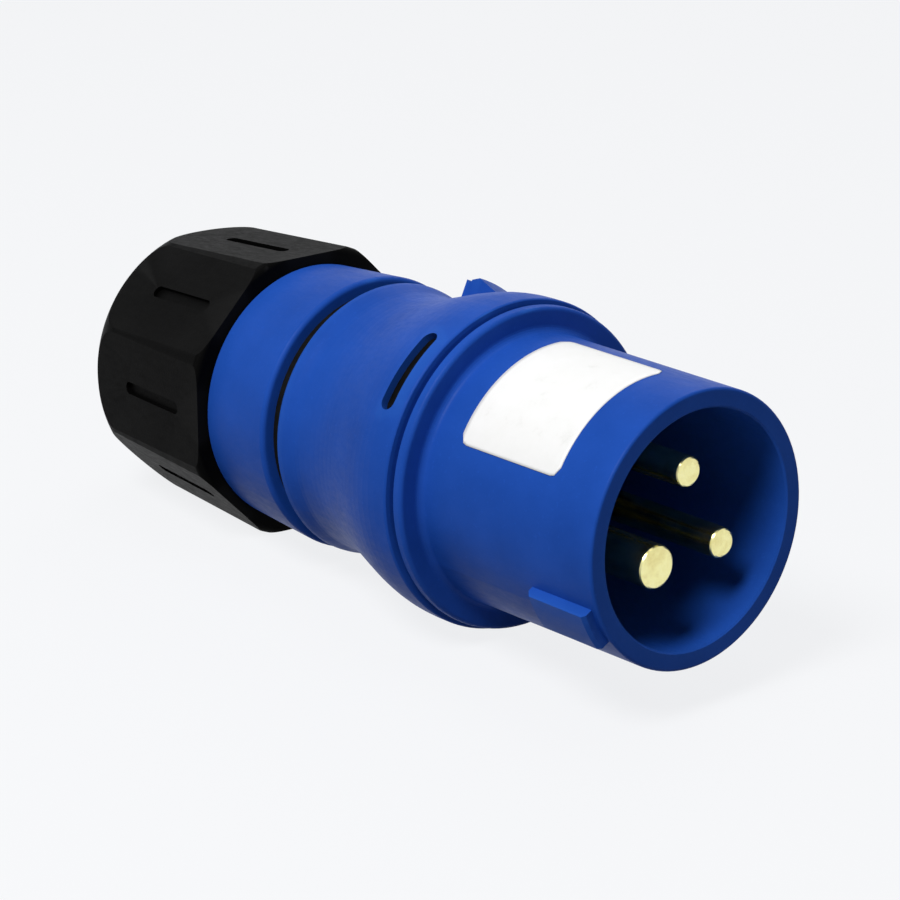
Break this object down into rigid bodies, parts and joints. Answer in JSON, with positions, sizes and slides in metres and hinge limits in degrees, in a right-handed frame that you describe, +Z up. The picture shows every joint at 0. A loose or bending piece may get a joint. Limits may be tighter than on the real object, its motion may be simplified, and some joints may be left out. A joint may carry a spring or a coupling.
{
  "type": "industrial pin and sleeve plug",
  "caption": "Blue industrial pin and sleeve plug lying on its side: round keyed shroud around brass pins, flared rear housing, and a black octagonal cable gland nut.",
  "frame": {"origin": "on the plug's axis, in the plane of the shroud's rim", "axes": "+X along the axis out of the shroud, +Z up as the plug lies on its side"},
  "size_m": [0.1315, 0.0546, 0.0546],
  "materials": {
    "blue_plastic": "satin moulded polyamide",
    "black_plastic": "satin moulded polyamide",
    "grey_nylon": "matt nylon",
    "black_rubber": "matt",
    "brass": "turned",
    "steel": "zinc plated"
  },
  "bodies": {
    "plug_body": {"front_shroud": "blue_plastic", "contact_carrier": "black_plastic", "line_pin": "brass", "neutral_pin": "brass", "earth_pin": "brass", "line_pad": "steel", "neutral_pad": "steel", "earth_pad": "steel", "line_screw": "steel", "neutral_screw": "steel", "earth_screw": "steel", "pin_retainer": "black_plastic", "retainer_screw": "steel", "housing_seal": "black_rubber", "rear_housing": "blue_plastic", "neck_gasket": "black_rubber", "gland_neck": "blue_plastic", "clamp_cage": "grey_nylon", "cable_grommet": "black_rubber", "grommet_insert": "black_rubber"},
    "slip_ring": {"slip_ring": "grey_nylon"},
    "gland_nut": {"gland_nut": "black_plastic"}
  },
  "joints": [
    {"name": "nut_travel", "type": "slide", "parent": "plug_body", "child": "slip_ring", "axis": [-1, 0, 0], "range_m": [0, 0.0075]},
    {"name": "nut_turn", "type": "hinge", "parent": "slip_ring", "child": "gland_nut", "pos_m": [-0.11, 0, 0], "axis": [-1, 0, 0], "range_deg": [0, 900]}
  ],
  "couplings": [
    {"joint": "nut_turn", "follows": "nut_travel", "rad_per_m": 2094.4}
  ]
}
